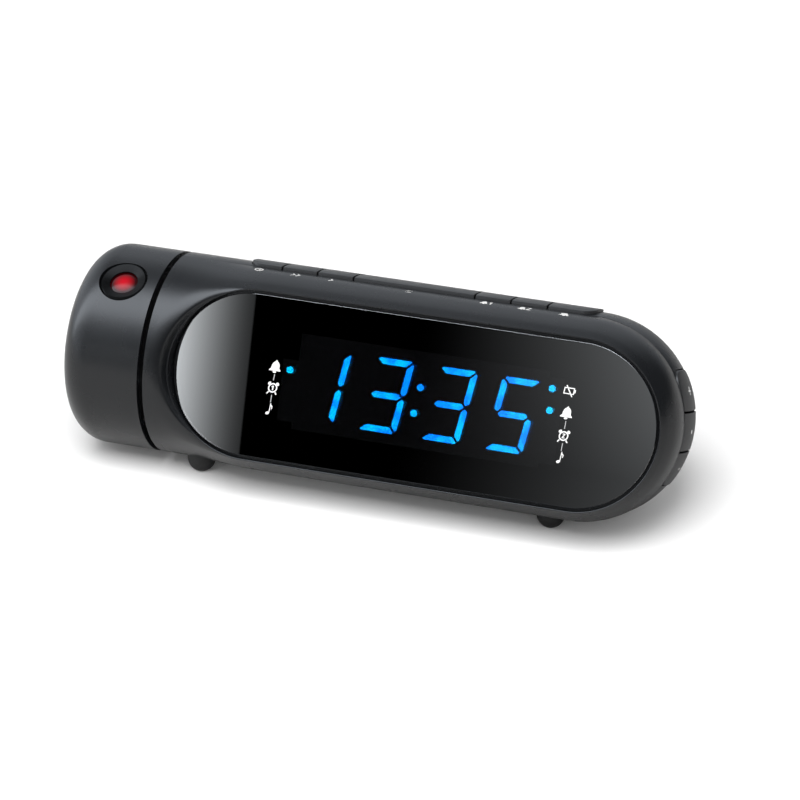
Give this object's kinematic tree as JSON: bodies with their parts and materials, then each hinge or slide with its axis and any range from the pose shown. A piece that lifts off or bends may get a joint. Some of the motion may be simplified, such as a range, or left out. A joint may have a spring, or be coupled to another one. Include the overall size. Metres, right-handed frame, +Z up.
{
  "type": "projection alarm clock",
  "caption": "Pill-shaped mains alarm clock with a leaning display window, keys along the top and on the end, and a projector head that turns at the other end.",
  "frame": {"origin": "on the surface that the feet stand on, under the middle of the whole clock", "axes": "+X along the case towards the end with the side keys, -Y the side that the display faces, +Z up"},
  "size_m": [0.1878, 0.0606, 0.063],
  "materials": {
    "case_black": "satin, lightly textured",
    "key_black": "satin",
    "end_plate_black": "matt",
    "window_black": "polished",
    "stroke_lit": "diffused",
    "lamp_lit": "diffused",
    "stroke_dark": "diffused",
    "block_black": "matt",
    "board_green": "solder mask",
    "chip_black": "matt",
    "capacitor_blue": "sleeved",
    "steel": "zinc plated",
    "spring_steel": "nickel plated",
    "brass": "turned",
    "speaker_steel": "satin",
    "magnet_grey": "sintered",
    "cone_black": "pressed paper",
    "foam_black": "closed cell foam",
    "tape_grey": "foam tape",
    "rubber_black": "matt",
    "inlet_black": "moulded",
    "cell_blue": "plastic sleeve",
    "lead_red": "insulation",
    "lens_red": "polished",
    "lens_clear": "polished",
    "slide_glass": "polished",
    "lamp_red": "clear moulded",
    "ring_black": "satin"
  },
  "bodies": {
    "case": {"front_shell": "case_black", "rear_shell": "case_black", "bearing_plate": "end_plate_black", "display_window": "window_black", "window_tape": "tape_grey", "digit_block": "block_black", "lit_segments": "stroke_lit", "unlit_segments": "stroke_dark", "lit_lamps": "lamp_lit", "unlit_lamps": "stroke_dark", "lamp_guides": "block_black", "display_board": "board_green", "main_board": "board_green", "board_spacers": "brass", "board_screws": "steel", "clock_chips": "chip_black", "filter_capacitors": "capacitor_blue", "top_key_board": "board_green", "top_key_switches": "chip_black", "side_key_board": "board_green", "side_key_switches": "chip_black", "key_board_screws": "steel", "speaker_frame": "speaker_steel", "speaker_cone": "cone_black", "speaker_magnet": "magnet_grey", "speaker_gasket": "foam_black", "speaker_screws": "steel", "power_jack": "inlet_black", "antenna_grommet": "rubber_black", "battery_cells": "cell_blue", "battery_contacts": "spring_steel", "case_screws": "steel", "feet": "rubber_black", "inner_leads": "lead_red"},
    "head": {"head_shell": "case_black", "head_cover": "end_plate_black", "head_screws": "steel", "stop_pin": "steel", "retaining_ring": "spring_steel", "friction_washer": "brass", "lens_ring": "ring_black", "projector_lens": "lens_red", "lens_barrel": "inlet_black", "condenser_lens": "lens_clear", "slide_display": "slide_glass", "projector_lamp": "lamp_red", "lamp_board": "board_green", "head_lead": "lead_red"},
    "battery_door": {"battery_door": "case_black"},
    "key_time": {"key_time": "key_black"},
    "key_hour": {"key_hour": "key_black"},
    "key_minute": {"key_minute": "key_black"},
    "key_snooze": {"key_snooze": "key_black"},
    "key_alarm_1": {"key_alarm_1": "key_black"},
    "key_alarm_2": {"key_alarm_2": "key_black"},
    "key_alarm_off": {"key_alarm_off": "key_black"},
    "side_key_upper": {"side_key_upper": "key_black"},
    "side_key_middle": {"side_key_middle": "key_black"},
    "side_key_lower": {"side_key_lower": "key_black"}
  },
  "joints": [
    {"name": "head_turn", "type": "hinge", "parent": "case", "child": "head", "pos_m": [-0.065, 0.00026, 0.0317], "axis": [1, 0, 0], "range_deg": [-115, 65]},
    {"name": "press_time", "type": "slide", "parent": "case", "child": "key_time", "axis": [0, -0.3714, -0.9285], "range_m": [0, 0.0005], "stiffness_N_per_m": 1000, "springref_m": -0.0005},
    {"name": "press_hour", "type": "slide", "parent": "case", "child": "key_hour", "axis": [0, -0.3714, -0.9285], "range_m": [0, 0.0005], "stiffness_N_per_m": 1000, "springref_m": -0.0005},
    {"name": "press_minute", "type": "slide", "parent": "case", "child": "key_minute", "axis": [0, -0.3714, -0.9285], "range_m": [0, 0.0005], "stiffness_N_per_m": 1000, "springref_m": -0.0005},
    {"name": "press_snooze", "type": "slide", "parent": "case", "child": "key_snooze", "axis": [0, -0.3714, -0.9285], "range_m": [0, 0.0005], "stiffness_N_per_m": 1000, "springref_m": -0.0005},
    {"name": "press_alarm_1", "type": "slide", "parent": "case", "child": "key_alarm_1", "axis": [0, -0.3714, -0.9285], "range_m": [0, 0.0005], "stiffness_N_per_m": 1000, "springref_m": -0.0005},
    {"name": "press_alarm_2", "type": "slide", "parent": "case", "child": "key_alarm_2", "axis": [0, -0.3714, -0.9285], "range_m": [0, 0.0005], "stiffness_N_per_m": 1000, "springref_m": -0.0005},
    {"name": "press_alarm_off", "type": "slide", "parent": "case", "child": "key_alarm_off", "axis": [0, -0.3714, -0.9285], "range_m": [0, 0.0005], "stiffness_N_per_m": 1000, "springref_m": -0.0005},
    {"name": "press_side_upper", "type": "slide", "parent": "case", "child": "side_key_upper", "axis": [-1, 0, 0], "range_m": [0, 0.0005], "stiffness_N_per_m": 1000, "springref_m": -0.0005},
    {"name": "press_side_middle", "type": "slide", "parent": "case", "child": "side_key_middle", "axis": [-1, 0, 0], "range_m": [0, 0.0005], "stiffness_N_per_m": 1000, "springref_m": -0.0005},
    {"name": "press_side_lower", "type": "slide", "parent": "case", "child": "side_key_lower", "axis": [-1, 0, 0], "range_m": [0, 0.0005], "stiffness_N_per_m": 1000, "springref_m": -0.0005},
    {"name": "door_off", "type": "slide", "parent": "case", "child": "battery_door", "axis": [0, 0.9285, -0.3714], "range_m": [0, 0.015]}
  ]
}
